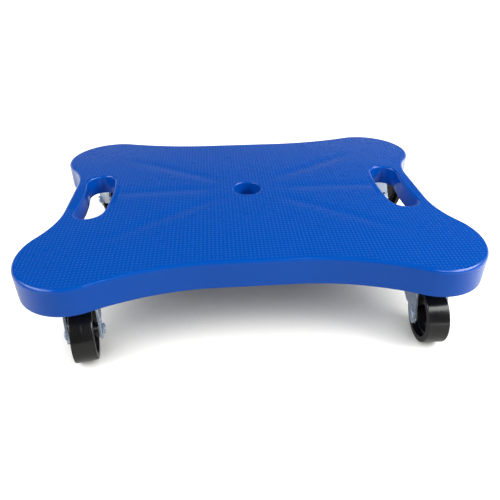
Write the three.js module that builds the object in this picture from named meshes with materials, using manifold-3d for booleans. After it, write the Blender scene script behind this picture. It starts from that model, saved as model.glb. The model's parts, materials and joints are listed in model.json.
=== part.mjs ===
// Scooter board: a moulded plastic deck with two hand slots, carried on four swivel casters.
// Millimetres, +Z up. The origin is on the floor under the middle of the deck.
// X runs along the deck's length, and the front is the long side that faces -Y.

import * as THREE from 'three';
import { mergeVertices } from 'three/addons/utils/BufferGeometryUtils.js';
import Module from 'manifold-3d';

const wasm = await Module();
wasm.setup();

// Fits that more than one piece shares
const seatGap = 0.3;
const overrun = 2;

// Deck outline: four round lobes joined by hollow sides, each with a short straight in its middle
const deckLength = 406;
const deckDepth = 299.7;
const lobeRadius = 48.7;
const shortSideInset = 23.8;
const longSideInset = 23;
const longSideStraight = 69;
const shortSideStraight = 54;

// Deck section. The whole deck is cambered: along its length and along its depth it rises from
// the level of the lobes' middles to its own middle, where a small area is level.
const deckWallHeight = 26.7;
const deckRiseX = 2.3;
const deckRiseY = 1.6;
const deckLevelDrop = 0.42;
const deckEdgeFillet = 2.9;
const deckWallDraft = 0.6;
const deckWall = 3.2;
const deckSkin = 3.4;
const ribThickness = 2.4;

// Hand slots, with a handle between each and the outer edge, and the centre hole
const handleWidth = 13.2;
const slotHalfWidth = 14.2;
const slotHalfLength = 45.8;
const slotBow = 5.2;
const slotLipRadius = 2.5;
const slotWall = 2.8;
const slotDepth = 20.5;
const slotClearance = 18;
const holeRadius = 14;
const holeLipRadius = 1.6;
const holeWall = 3;

// Caster pads under the lobes, a little proud of the rim beside them, with shallower ribs between
const padProud = 0.6;
const padMargin = 1;
const ribRecess = 2.5;
const bossWall = 3.7;
const pilotSpare = 1.5;
const kingpinRecessClearance = 1.6;
const kingpinRecessWall = 2.6;
const kingpinRecessSpare = 1;

// Mounting plate and its screws
const plateLength = 60;
const plateWidth = 48;
const plateThickness = 2.2;
const plateCorner = 6;
const screwInset = 7;
const screwHoleClearance = 0.6;
const screwShankRadius = 2.2;
const screwTipRadius = 0.7;
const screwTipLength = 3;
const screwLength = 15;
const screwHeadRadius = 4.3;
const screwHeadHeight = 2.4;

// Swivel bearing and kingpin
const cupRadius = 19.5;
const cupThickness = 1.8;
const cupSkirtThickness = 1.6;
const cupSkirtHeight = 5.5;
const ballDiameter = 3.8;
const ballSideClearance = 2;
const cageWidth = 3.4;
const cageThickness = 0.8;
const kingpinRadius = 4.2;
const kingpinHeadRadius = 7;
const kingpinHeadHeight = 2;

// Fork. Ahead is measured from the kingpin towards the wheel, and drops from the top of the crown.
const forkWidth = 29;
const forkSheet = 2.1;
const forkBendRadius = 3.4;
const crownRadius = 17;
const crownBack = 14;
const crownFront = 25.5;
const crownEdge = 2;
const legSkirtDrop = 16;
const legFlareAhead = 1;
const legFlareDrop = 22.5;
const legKneeAhead = 12.5;
const legKneeDrop = 27.5;
const legEndRadius = 6.1;
const legEndDrop = 3;
const trail = 26.3;
const lockHoleRadius = 1.5;
const lockHoleRise = 8;
const lockHoleBack = 1.5;

// Wheel
const wheelRadius = 25;
const wheelClearance = 1;
const wheelSideClearance = 2.9;
const treadRounding = 1.2;
const rimThickness = 5;
const hubRadius = 6.8;
const webThickness = 6;

// Axle bolt, nut and sleeve
const boltRadius = 3;
const boltHeadRadius = 4.6;
const boltHeadHeight = 1.8;
const nutFlats = 8;
const nutHeight = 2.4;
const boltTipReach = 0.5;
const sleeveWall = 1;

// Where each caster stands and how far it is swivelled, in degrees from +X
const casters = [
  { place: 'front_left', side: [-1, -1], swivel: -79 },
  { place: 'front_right', side: [1, -1], swivel: -92 },
  { place: 'back_left', side: [-1, 1], swivel: 118 },
  { place: 'back_right', side: [1, 1], swivel: 6 },
];

// How finely curves are cut
const lobeSteps = 10;
const longArcSteps = 6;
const shortArcSteps = 4;
const filletSteps = 2;
const camberShares = [0.78, 0.52, 0.25];
const slotSideSteps = 6;
const slotEndSteps = 6;
const holeSteps = 20;
const smallSteps = 8;
const turnSteps = 16;
const wheelSteps = 24;
const ballCount = 8;
const ballSteps = 6;
const ribBaysX = 3;
const ribBaysY = 2;

// Heights that follow from the sizes above, stacked up from the wheel
const crownUnder = 2 * wheelRadius + wheelClearance;
const crownTop = crownUnder + forkSheet;
const ballZ = crownTop + seatGap + ballDiameter / 2;
const cupUnder = ballZ + ballDiameter / 2 + seatGap;
const cupTop = cupUnder + cupThickness;
const plateUnder = cupTop + seatGap;
const plateTop = plateUnder + plateThickness;
const padZ = plateTop + seatGap;
const ribZ = padZ + ribRecess;
const rimZ = padZ + padProud;
const deckTop = rimZ + deckWallHeight;
const highest = deckTop + deckRiseX + deckRiseY;
const lowest = rimZ - deckRiseX - deckRiseY;
const slotFloor = deckTop + deckRiseY - slotDepth;

// Places and radii that follow from the sizes above
const waistLength = deckLength - 2 * shortSideInset;
const waistDepth = deckDepth - 2 * longSideInset;
const slotCentre = waistLength / 2 - handleWidth - slotHalfWidth;
const pivotX = deckLength / 2 - lobeRadius;
const pivotY = deckDepth / 2 - lobeRadius;
const pilotRadius = screwShankRadius + seatGap;
const screwHoleRadius = screwShankRadius + screwHoleClearance;
const bossRadius = pilotRadius + bossWall;
const kingpinClearRadius = kingpinRadius + seatGap;
const kingpinRecessRadius = kingpinHeadRadius + kingpinRecessClearance;
const ballPitchRadius = cupRadius - cupSkirtThickness - ballSideClearance - ballDiameter / 2;
const forkInside = forkWidth / 2 - forkSheet;
const hubHalfWidth = forkInside - seatGap;
const treadHalfWidth = forkInside - wheelSideClearance;
const sleeveInner = boltRadius + seatGap;
const sleeveOuter = sleeveInner + sleeveWall;
const faceOut = forkWidth / 2 + seatGap;

// Solids

function solidOf(geometry) {
  const bare = geometry.clone();
  bare.deleteAttribute('normal');
  bare.deleteAttribute('uv');
  const merged = mergeVertices(bare);
  const corners = [];
  const index = merged.index.array;
  for (let i = 0; i < index.length; i += 3) {
    const [a, b, c] = [index[i], index[i + 1], index[i + 2]];
    if (a !== b && b !== c && c !== a) corners.push(a, b, c);
  }
  return new wasm.Manifold(new wasm.Mesh({
    numProp: 3,
    vertProperties: merged.attributes.position.array,
    triVerts: Uint32Array.from(corners),
  }));
}

function geometryOf(solid) {
  const mesh = solid.getMesh();
  const geometry = new THREE.BufferGeometry();
  geometry.setAttribute('position', new THREE.BufferAttribute(mesh.vertProperties, 3));
  geometry.setIndex(new THREE.BufferAttribute(mesh.triVerts, 1));
  geometry.computeVertexNormals();
  return geometry;
}

const joined = (solids) => solids.reduce((sum, solid) => sum.add(solid));

function box(low, high) {
  const size = high.map((value, i) => value - low[i]);
  const geometry = new THREE.BoxGeometry(...size);
  geometry.translate(...low.map((value, i) => value + size[i] / 2));
  return solidOf(geometry);
}

// An outline of [x, y] points stood up between two heights
function prism(outline, low, high) {
  const shape = new THREE.Shape(outline.map(([x, y]) => new THREE.Vector2(x, y)));
  const geometry = new THREE.ExtrudeGeometry(shape, { depth: high - low, bevelEnabled: false });
  geometry.translate(0, 0, low);
  return solidOf(geometry);
}

// A profile of [radius, height] points turned about Z, from the axis back to the axis or closed on itself
function turned(profile, steps) {
  const points = profile.map(([radius, height]) => new THREE.Vector2(radius, height));
  const geometry = new THREE.LatheGeometry(points, steps);
  geometry.rotateX(Math.PI / 2);
  return solidOf(geometry);
}

function cylinder(radius, low, high, steps) {
  return turned([[0, low], [radius, low], [radius, high], [0, high]], steps);
}

// Rings of points, one above the other and all with the same count, joined by walls and closed at each end
function stacked(rings) {
  const count = rings[0].length;
  const positions = rings.flat(2);
  const index = [];
  for (let level = 0; level + 1 < rings.length; level += 1) {
    for (let i = 0; i < count; i += 1) {
      const a = level * count + i;
      const b = level * count + ((i + 1) % count);
      index.push(a, b, a + count, b, b + count, a + count);
    }
  }
  const flat = (ring) => ring.map(([x, y]) => new THREE.Vector2(x, y));
  for (const [a, b, c] of THREE.ShapeUtils.triangulateShape(flat(rings[0]), [])) index.push(c, b, a);
  const last = (rings.length - 1) * count;
  for (const [a, b, c] of THREE.ShapeUtils.triangulateShape(flat(rings.at(-1)), [])) {
    index.push(last + a, last + b, last + c);
  }
  const geometry = new THREE.BufferGeometry();
  geometry.setAttribute('position', new THREE.BufferAttribute(new Float32Array(positions), 3));
  geometry.setIndex(index);
  return solidOf(geometry);
}

// Points on an arc from one angle to another, both ends included
function arc(x, y, radius, from, to, steps) {
  return Array.from({ length: steps + 1 }, (_, i) => {
    const angle = from + ((to - from) * i) / steps;
    return [x + radius * Math.cos(angle), y + radius * Math.sin(angle)];
  });
}

const atHeight = (outline, z) => outline.map(([x, y]) => [x, y, z]);

// Deck

// Camber of the deck at a point: it falls by the square of the distance from the middle, and is
// level where it would fall by less than deckLevelDrop
function camber(x, y) {
  const fall = deckRiseX * (x / pivotX) ** 2 + deckRiseY * (y / pivotY) ** 2;
  return deckRiseX + deckRiseY - Math.max(fall, deckLevelDrop);
}

const cambered = (outline, z) => outline.map(([x, y]) => [x, y, z + camber(x, y)]);

// The last of the rings that close a solid on top, followed by smaller copies of it up the camber
function camberedTop(outline, z) {
  const shrunk = camberShares.map((share) => outline.map(([x, y]) => [x * share, y * share]));
  return [outline, ...shrunk].map((ring) => cambered(ring, z));
}

// Radius of the hollow arc that starts square to a straight and meets a lobe smoothly.
// along and across are the distances from the arc's start to the lobe's centre.
function hollowRadius(along, across) {
  return (along ** 2 + across ** 2 - lobeRadius ** 2) / (2 * (lobeRadius + across));
}

// The deck's outline moved inwards by inset, anticlockwise.
// One quarter runs from the short side's straight, round the lobe, to the long side's straight.
function deckOutline(inset) {
  const shortStart = [waistLength / 2, shortSideStraight / 2];
  const longEnd = [longSideStraight / 2, waistDepth / 2];
  const shortHollow = hollowRadius(pivotY - shortStart[1], pivotX - shortStart[0]);
  const longHollow = hollowRadius(pivotX - longEnd[0], pivotY - longEnd[1]);
  const shortCentre = [shortStart[0] + shortHollow, shortStart[1]];
  const longCentre = [longEnd[0], longEnd[1] + longHollow];
  const toShort = Math.atan2(shortCentre[1] - pivotY, shortCentre[0] - pivotX);
  const toLong = Math.atan2(longCentre[1] - pivotY, longCentre[0] - pivotX);
  const quarter = [
    ...arc(...shortCentre, shortHollow + inset, Math.PI, toShort + Math.PI, shortArcSteps).slice(0, -1),
    ...arc(pivotX, pivotY, lobeRadius - inset, toShort, toLong, lobeSteps),
    ...arc(...longCentre, longHollow + inset, toLong - Math.PI, -Math.PI / 2, longArcSteps).slice(1),
  ];
  const flipX = (points) => points.map(([x, y]) => [-x, y]).reverse();
  const turn = (points) => points.map(([x, y]) => [-x, -y]);
  const half = [...quarter, ...flipX(quarter)];
  return [...half, ...turn(half)];
}

function deckBlock() {
  const rings = [cambered(deckOutline(deckWallDraft), rimZ)];
  for (let i = 0; i < filletSteps; i += 1) {
    const angle = (i / filletSteps) * (Math.PI / 2);
    const inset = deckEdgeFillet * (1 - Math.cos(angle));
    const z = deckTop - deckEdgeFillet * (1 - Math.sin(angle));
    rings.push(cambered(deckOutline(inset), z));
  }
  return stacked([...rings, ...camberedTop(deckOutline(deckEdgeFillet), deckTop)]);
}

function deckHollow() {
  const draftSlope = deckWallDraft / (deckWallHeight - deckEdgeFillet);
  const lowInset = deckWall + deckWallDraft + draftSlope * (rimZ - lowest);
  return stacked([
    atHeight(deckOutline(lowInset), lowest),
    ...camberedTop(deckOutline(deckWall + deckEdgeFillet / 2), deckTop - deckSkin),
  ]);
}

// What the ribs, tubes and pads may fill: up to the middle of the skin and out to the middle of the wall
function deckInside() {
  const outline = deckOutline(deckWallDraft + deckWall / 2);
  return stacked([atHeight(outline, padZ - overrun), ...camberedTop(outline, deckTop - deckSkin / 2)]);
}

// A bean-shaped slot outline, grown by a margin, with its ends bent outwards.
// The centreline bows by slotBow times the square of the share of the half length.
function slotOutline(side, margin) {
  const halfWidth = slotHalfWidth + margin;
  const reach = slotHalfLength - slotHalfWidth;
  const outer = [];
  const inner = [];
  for (let i = 0; i <= slotSideSteps; i += 1) {
    const y = reach * ((2 * i) / slotSideSteps - 1);
    const share = y / slotHalfLength;
    const x = slotCentre + slotBow * share ** 2;
    const slope = (2 * slotBow * share) / slotHalfLength;
    const length = Math.hypot(1, slope);
    outer.push([x + halfWidth / length, y - (halfWidth * slope) / length]);
    inner.push([x - halfWidth / length, y + (halfWidth * slope) / length]);
  }
  const endCap = (from, to) => {
    const centre = [(from[0] + to[0]) / 2, (from[1] + to[1]) / 2];
    const start = Math.atan2(from[1] - centre[1], from[0] - centre[0]);
    return arc(...centre, halfWidth, start, start + Math.PI, slotEndSteps).slice(1, -1);
  };
  const top = endCap(outer.at(-1), inner.at(-1));
  const bottom = endCap(inner[0], outer[0]);
  const outline = [...outer, ...top, ...inner.reverse(), ...bottom];
  return side > 0 ? outline : outline.map(([x, y]) => [-x, y]).reverse();
}

// A cut whose top edge flares out in a quarter round; outlineAt(margin) gives its outline
function flaredCut(outlineAt, low, lip) {
  const rings = [atHeight(outlineAt(0), low)];
  for (let i = 0; i <= filletSteps; i += 1) {
    const angle = (i / filletSteps) * (Math.PI / 2);
    rings.push(cambered(outlineAt(lip * (1 - Math.cos(angle))), deckTop - lip * (1 - Math.sin(angle))));
  }
  rings.push(cambered(outlineAt(lip), deckTop + overrun));
  return stacked(rings);
}

function holeOutline(margin) {
  return arc(0, 0, holeRadius + margin, 0, 2 * Math.PI, holeSteps).slice(0, -1);
}

// A rib between two points, from its level lower edge up into the skin
function rib(from, to) {
  const half = ribThickness / 2;
  const length = Math.hypot(to[0] - from[0], to[1] - from[1]);
  const across = [(-(to[1] - from[1]) / length) * half, ((to[0] - from[0]) / length) * half];
  const outline = [
    [from[0] - across[0], from[1] - across[1]],
    [to[0] - across[0], to[1] - across[1]],
    [to[0] + across[0], to[1] + across[1]],
    [from[0] + across[0], from[1] + across[1]],
  ];
  return prism(outline, ribZ, highest);
}

// The grid of ribs under the top, whose outer lines run along the pads' inner walls,
// with a diagonal from the middle to each pad
function deckRibs() {
  const ribs = [];
  const lastX = pivotX - plateLength / 2 - padMargin + ribThickness / 2;
  const lastY = pivotY - plateWidth / 2 - padMargin + ribThickness / 2;
  for (let line = -ribBaysX; line <= ribBaysX; line += 1) {
    const x = (lastX * line) / ribBaysX;
    ribs.push(rib([x, -deckDepth / 2], [x, deckDepth / 2]));
  }
  for (let line = -ribBaysY; line <= ribBaysY; line += 1) {
    const y = (lastY * line) / ribBaysY;
    ribs.push(rib([-deckLength / 2, y], [deckLength / 2, y]));
  }
  for (const side of [-1, 1]) {
    ribs.push(rib([-pivotX, -side * pivotY], [pivotX, side * pivotY]));
  }
  return joined(ribs);
}

function padFootprint(side, margin, low, high) {
  const [x, y] = [side[0] * pivotX, side[1] * pivotY];
  const [halfX, halfY] = [plateLength / 2 + margin, plateWidth / 2 + margin];
  return box([x - halfX, y - halfY, low], [x + halfX, y + halfY, high]);
}

function screwPlaces(side) {
  const places = [];
  for (const sy of [-1, 1]) {
    for (const sx of [-1, 1]) {
      const x = side[0] * pivotX + sx * (plateLength / 2 - screwInset);
      const y = side[1] * pivotY + sy * (plateWidth / 2 - screwInset);
      places.push([x, y]);
    }
  }
  return places;
}

// A frame of ribs that a mounting plate is screwed to, with a boss for each screw and a
// round well for the head of the kingpin
function casterPad(side) {
  const [x, y] = [side[0] * pivotX, side[1] * pivotY];
  const frame = padFootprint(side, padMargin, padZ, highest)
    .subtract(padFootprint(side, padMargin - ribThickness, padZ - overrun, highest + overrun));
  const half = ribThickness / 2;
  const [reachX, reachY] = [plateLength / 2, plateWidth / 2];
  const cross = box([x - reachX, y - half, padZ], [x + reachX, y + half, highest])
    .add(box([x - half, y - reachY, padZ], [x + half, y + reachY, highest]));
  const well = cylinder(kingpinRecessRadius + kingpinRecessWall, padZ, highest, turnSteps)
    .translate([x, y, 0]);
  const bosses = screwPlaces(side).map(([bx, by]) => (
    cylinder(bossRadius, padZ, highest, smallSteps).translate([bx, by, 0])));
  return joined([frame, cross, well, ...bosses]);
}

function casterPadCuts(side) {
  const [x, y] = [side[0] * pivotX, side[1] * pivotY];
  const wellTop = plateTop + seatGap + kingpinHeadHeight + kingpinRecessSpare;
  const well = cylinder(kingpinRecessRadius, padZ - overrun, wellTop, turnSteps)
    .translate([x, y, 0]);
  const pilotTop = cupTop + screwLength + pilotSpare;
  const pilots = screwPlaces(side).map(([px, py]) => (
    cylinder(pilotRadius, padZ - overrun, pilotTop, smallSteps).translate([px, py, 0])));
  return joined([well, ...pilots]);
}

function deck() {
  const sides = casters.map((caster) => caster.side);
  const block = deckBlock();
  let ribs = deckRibs();
  for (const side of sides) {
    ribs = ribs.subtract(padFootprint(side, padMargin - ribThickness, padZ - overrun, highest + overrun));
  }
  for (const side of [-1, 1]) {
    ribs = ribs.subtract(prism(slotOutline(side, slotClearance), padZ - overrun, slotFloor));
  }
  const holeTube = cylinder(holeRadius + holeWall, ribZ, highest, holeSteps);
  const slotTubes = [-1, 1].map((side) => prism(slotOutline(side, slotWall), slotFloor, highest));
  const inside = joined([ribs, holeTube, ...slotTubes, ...sides.map(casterPad)]).intersect(deckInside());
  const cuts = [
    flaredCut(holeOutline, padZ - overrun, holeLipRadius),
    ...[-1, 1].map((side) => (
      flaredCut((margin) => slotOutline(side, margin), padZ - overrun, slotLipRadius))),
    ...sides.map(casterPadCuts),
  ];
  return block.subtract(deckHollow()).add(inside).subtract(joined(cuts));
}

// Caster pieces, each about its own pivot, with the wheel trailing along +X

function roundedRectangle(length, width, corner) {
  const [x, y] = [length / 2 - corner, width / 2 - corner];
  const quarter = Math.PI / 2;
  return [[x, y, 0], [-x, y, 1], [-x, -y, 2], [x, -y, 3]].flatMap(([cx, cy, turn]) => (
    arc(cx, cy, corner, turn * quarter, (turn + 1) * quarter, filletSteps)));
}

function mountingPlate() {
  let plate = prism(roundedRectangle(plateLength, plateWidth, plateCorner), plateUnder, plateTop);
  const [low, high] = [plateUnder - overrun, plateTop + overrun];
  plate = plate.subtract(cylinder(kingpinClearRadius, low, high, turnSteps));
  for (const [x, y] of screwPlaces([0, 0])) {
    plate = plate.subtract(cylinder(screwHoleRadius, low, high, smallSteps).translate([x, y, 0]));
  }
  return plate;
}

// Pan-head screw, pointing up
function screw() {
  const headUnder = cupTop - screwHeadHeight;
  const edge = screwHeadHeight / 3;
  const tip = cupTop + screwLength;
  return turned([
    [0, headUnder],
    [screwHeadRadius - edge, headUnder],
    [screwHeadRadius, headUnder + edge],
    [screwHeadRadius, cupTop],
    [screwShankRadius, cupTop],
    [screwShankRadius, tip - screwTipLength],
    [screwTipRadius, tip],
    [0, tip],
  ], smallSteps);
}

// Upper bearing race: a pressed disc with a skirt that covers the balls
function raceCup() {
  const skirtInner = cupRadius - cupSkirtThickness;
  const skirtLow = cupTop - cupSkirtHeight;
  return turned([
    [kingpinClearRadius, cupUnder],
    [skirtInner, cupUnder],
    [skirtInner, skirtLow],
    [cupRadius, skirtLow],
    [cupRadius, cupTop - cupThickness / 2],
    [cupRadius - cupThickness / 2, cupTop],
    [kingpinClearRadius, cupTop],
    [kingpinClearRadius, cupUnder],
  ], turnSteps);
}

// The ring of balls in its cage, whose straight sides each hold one ball
function ballRing() {
  const halfStep = Math.PI / ballCount;
  const cageRadius = ballPitchRadius / Math.cos(halfStep);
  const [inner, outer] = [cageRadius - cageWidth / 2, cageRadius + cageWidth / 2];
  const [low, high] = [ballZ - cageThickness / 2, ballZ + cageThickness / 2];
  const cage = turned([[inner, low], [outer, low], [outer, high], [inner, high], [inner, low]], ballCount);
  const ball = solidOf(new THREE.SphereGeometry(ballDiameter / 2, ballSteps, ballSteps / 2));
  const balls = Array.from({ length: ballCount }, (_, i) => {
    const angle = halfStep * (2 * i + 1);
    return ball.translate([ballPitchRadius * Math.cos(angle), ballPitchRadius * Math.sin(angle), ballZ]);
  });
  return joined([cage, ...balls]);
}

// Rivet that holds the fork, the race and the plate together
function kingpin() {
  const lowHeadTop = crownUnder - seatGap;
  const lowHeadUnder = lowHeadTop - kingpinHeadHeight;
  const topHeadUnder = plateTop + seatGap;
  const topHeadTop = topHeadUnder + kingpinHeadHeight;
  const chamfer = kingpinHeadHeight / 2;
  return turned([
    [0, lowHeadUnder],
    [kingpinHeadRadius - chamfer, lowHeadUnder],
    [kingpinHeadRadius, lowHeadUnder + chamfer],
    [kingpinHeadRadius, lowHeadTop],
    [kingpinRadius, lowHeadTop],
    [kingpinRadius, topHeadUnder],
    [kingpinHeadRadius, topHeadUnder],
    [kingpinHeadRadius, topHeadTop - chamfer],
    [kingpinHeadRadius - chamfer, topHeadTop],
    [0, topHeadTop],
  ], turnSteps);
}

// Bent-sheet section of the fork: an upside-down U in the across and height plane
function forkSection() {
  const low = wheelRadius - legEndDrop - legEndRadius - overrun;
  const half = forkWidth / 2;
  const bend = forkBendRadius;
  const innerBend = forkBendRadius - forkSheet;
  const outerTop = crownTop - bend;
  return [
    [half, low],
    ...arc(half - bend, outerTop, bend, 0, Math.PI / 2, filletSteps),
    ...arc(-half + bend, outerTop, bend, Math.PI / 2, Math.PI, filletSteps),
    [-half, low],
    [-forkInside, low],
    ...arc(-half + bend, outerTop, innerBend, Math.PI, Math.PI / 2, filletSteps),
    ...arc(half - bend, outerTop, innerBend, Math.PI / 2, 0, filletSteps),
    [forkInside, low],
  ];
}

// Side view of the fork: a level crown, then legs that are wide above and narrow to a round end at the axle
function forkProfile() {
  const crownLow = crownTop - crownEdge;
  const knee = [legKneeAhead, crownTop - legKneeDrop];
  const end = [trail, wheelRadius - legEndDrop];
  const backAngle = tangentAngle(end, knee, legEndRadius, 1);
  const frontAngle = tangentAngle(end, [crownFront, crownLow], legEndRadius, -1);
  return [
    [crownFront, crownTop],
    [-crownBack, crownTop],
    [-crownBack, crownTop - legSkirtDrop],
    [legFlareAhead, crownTop - legFlareDrop],
    knee,
    ...arc(...end, legEndRadius, backAngle, frontAngle + 2 * Math.PI, smallSteps),
    [crownFront, crownLow],
  ];
}

// Angle on a circle where the line from an outside point touches it, on the side given by turn
function tangentAngle(centre, point, radius, turn) {
  const [dx, dy] = [point[0] - centre[0], point[1] - centre[1]];
  return Math.atan2(dy, dx) + turn * Math.acos(radius / Math.hypot(dx, dy));
}

function fork() {
  const half = forkWidth / 2 + overrun;
  const bent = prism(forkSection(), -crownBack - overrun, trail + legEndRadius + overrun)
    .rotate([90, 0, 0]).rotate([0, 0, 90]);
  const profile = prism(forkProfile(), -half, half).rotate([90, 0, 0]);
  const crown = cylinder(crownRadius, crownUnder, crownTop, turnSteps);
  const holeAcross = (radius, x, z, steps) => (
    cylinder(radius, -half, half, steps).rotate([90, 0, 0]).translate([x, 0, z]));
  return bent.intersect(profile)
    .add(crown)
    .subtract(cylinder(kingpinClearRadius, crownUnder - overrun, crownTop + overrun, turnSteps))
    .subtract(holeAcross(boltRadius + seatGap, trail, wheelRadius, smallSteps))
    .subtract(holeAcross(lockHoleRadius, trail - lockHoleBack, wheelRadius + lockHoleRise, smallSteps));
}

// What turns about the axle is turned about Z first, then laid along Y at the axle
function onAxle(solid) {
  return solid.rotate([-90, 0, 0]).translate([trail, 0, wheelRadius]);
}

// Wheel with a rounded tread, recessed faces and a hub that nearly fills the fork
function wheel() {
  const bore = sleeveOuter + seatGap;
  const [tread, web] = [treadHalfWidth, webThickness / 2];
  const rimInner = wheelRadius - rimThickness;
  const shoulder = (side) => arc(wheelRadius - treadRounding, side * (tread - treadRounding), treadRounding,
    side > 0 ? 0 : -Math.PI / 2, side > 0 ? Math.PI / 2 : 0, filletSteps);
  const profile = [
    [bore, -hubHalfWidth],
    [hubRadius, -hubHalfWidth],
    [hubRadius, -web],
    [rimInner, -web],
    [rimInner, -tread],
    ...shoulder(-1),
    ...shoulder(1),
    [rimInner, tread],
    [rimInner, web],
    [hubRadius, web],
    [hubRadius, hubHalfWidth],
    [bore, hubHalfWidth],
    [bore, -hubHalfWidth],
  ];
  return onAxle(turned(profile, wheelSteps));
}

function sleeve() {
  return onAxle(turned([
    [sleeveInner, -hubHalfWidth],
    [sleeveOuter, -hubHalfWidth],
    [sleeveOuter, hubHalfWidth],
    [sleeveInner, hubHalfWidth],
    [sleeveInner, -hubHalfWidth],
  ], turnSteps));
}

// Bolt with a low domed head on one side of the fork and the nut on the other
function axleBolt() {
  const tip = faceOut + nutHeight + boltTipReach;
  return onAxle(turned([
    [0, -faceOut - boltHeadHeight],
    [boltHeadRadius / 2, -faceOut - boltHeadHeight],
    [boltHeadRadius, -faceOut - boltHeadHeight / 3],
    [boltHeadRadius, -faceOut],
    [boltRadius, -faceOut],
    [boltRadius, tip],
    [0, tip],
  ], turnSteps));
}

const hexagon = (flats) => arc(0, 0, flats / Math.sqrt(3), 0, 2 * Math.PI, 6).slice(0, -1);

function axleNut() {
  const nut = prism(hexagon(nutFlats), faceOut, faceOut + nutHeight);
  const thread = cylinder(boltRadius + seatGap, faceOut - overrun, faceOut + nutHeight + overrun, smallSteps);
  return onAxle(nut.subtract(thread));
}

// Materials

const bluePlastic = { color: 0x0a55b8, roughness: 0.35, metalness: 0 };
const zincSteel = { color: 0xb9c2cc, roughness: 0.3, metalness: 0.9 };
const ballSteel = { color: 0xd5d9dd, roughness: 0.12, metalness: 1 };
const blackPlastic = { color: 0x141517, roughness: 0.25, metalness: 0 };

function named(name, solid, finish) {
  const mesh = new THREE.Mesh(geometryOf(solid), new THREE.MeshStandardMaterial(finish));
  mesh.name = name;
  return mesh;
}

// Assembly

const scooterBoard = new THREE.Group();
scooterBoard.add(named('deck', deck(), bluePlastic));

const fixedPieces = [
  ['mounting_plate', mountingPlate, zincSteel],
  ['race_cup', raceCup, zincSteel],
  ['ball_ring', ballRing, ballSteel],
  ['kingpin', kingpin, zincSteel],
];
const swivelPieces = [
  ['fork', fork, zincSteel],
  ['wheel', wheel, blackPlastic],
  ['axle_sleeve', sleeve, zincSteel],
  ['axle_bolt', axleBolt, zincSteel],
  ['axle_nut', axleNut, zincSteel],
];

for (const { place, side, swivel } of casters) {
  const fixed = new THREE.Group();
  fixed.position.set(side[0] * pivotX, side[1] * pivotY, 0);
  for (const [name, make, finish] of fixedPieces) {
    fixed.add(named(`${place}_${name}`, make(), finish));
  }
  screwPlaces([0, 0]).forEach(([x, y], i) => {
    const mesh = named(`${place}_screw_${i + 1}`, screw(), zincSteel);
    mesh.position.set(x, y, 0);
    fixed.add(mesh);
  });
  const turning = new THREE.Group();
  turning.position.copy(fixed.position);
  turning.rotation.z = THREE.MathUtils.degToRad(swivel);
  for (const [name, make, finish] of swivelPieces) {
    turning.add(named(`${place}_${name}`, make(), finish));
  }
  scooterBoard.add(fixed, turning);
}

export default scooterBoard;
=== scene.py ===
import json
import math

import bpy
import numpy as np
from mathutils import Matrix, Vector


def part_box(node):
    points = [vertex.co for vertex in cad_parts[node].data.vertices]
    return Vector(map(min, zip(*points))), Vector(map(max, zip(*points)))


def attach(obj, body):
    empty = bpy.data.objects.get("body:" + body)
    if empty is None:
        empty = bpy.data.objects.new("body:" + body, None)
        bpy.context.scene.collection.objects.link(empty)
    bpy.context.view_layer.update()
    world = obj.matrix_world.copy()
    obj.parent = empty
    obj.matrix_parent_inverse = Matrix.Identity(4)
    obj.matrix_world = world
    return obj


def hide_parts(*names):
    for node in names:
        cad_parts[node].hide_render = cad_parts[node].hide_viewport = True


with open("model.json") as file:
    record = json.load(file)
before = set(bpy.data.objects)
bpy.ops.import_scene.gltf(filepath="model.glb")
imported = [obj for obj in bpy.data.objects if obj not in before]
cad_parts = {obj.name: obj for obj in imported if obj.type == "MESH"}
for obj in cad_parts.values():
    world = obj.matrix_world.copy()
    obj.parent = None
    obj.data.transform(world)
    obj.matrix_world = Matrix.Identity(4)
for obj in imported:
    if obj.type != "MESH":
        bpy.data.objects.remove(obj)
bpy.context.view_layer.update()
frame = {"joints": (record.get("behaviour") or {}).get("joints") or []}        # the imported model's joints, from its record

# A scooter board: the moulded deck, and four casters of plate, bearing, fork, wheel and axle.
# Metres, +Z up, the origin on the floor under the middle of the deck, the front facing -Y.

MM = 0.001

# Deck outline and section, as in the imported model
DECK_LENGTH = 406 * MM
DECK_DEPTH = 299.7 * MM
LOBE_RADIUS = 48.7 * MM
WAIST_LENGTH = 358.4 * MM
WAIST_DEPTH = 253.7 * MM
LONG_STRAIGHT = 69 * MM
SHORT_STRAIGHT = 54 * MM
WALL_HEIGHT = 26.7 * MM
RISE_X = 2.3 * MM
RISE_Y = 1.6 * MM
LEVEL_DROP = 0.42 * MM
CAMBER_TOLERANCE = 0.02 * MM
EDGE_FILLET = 2.9 * MM
WALL_DRAFT = 0.6 * MM
WALL = 3.2 * MM
SKIN = 3.4 * MM
RIM_ROUND = 0.7 * MM
RIB = 2.4 * MM
RIB_BAYS_X = 3
RIB_BAYS_Y = 2
RIB_RECESS = 2.5 * MM
PAD_MARGIN = 1 * MM
BOSS_RADIUS = 6.2 * MM
PILOT_RADIUS = 2.5 * MM
PILOT_SPARE = 1.5 * MM
WELL_RADIUS = 8.6 * MM
WELL_WALL = 2.6 * MM
WELL_SPARE = 1 * MM
SLOT_CENTRE = 151.8 * MM
SLOT_HALF_WIDTH = 14.2 * MM
SLOT_HALF_LENGTH = 45.8 * MM
SLOT_BOW = 5.2 * MM
SLOT_LIP = 2.5 * MM
SLOT_WALL = 2.8 * MM
SLOT_DEPTH = 20.5 * MM
SLOT_CLEARANCE = 18 * MM
HOLE_RADIUS = 14 * MM
HOLE_LIP = 1.6 * MM
HOLE_WALL = 3 * MM
OVERRUN = 2 * MM

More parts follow.
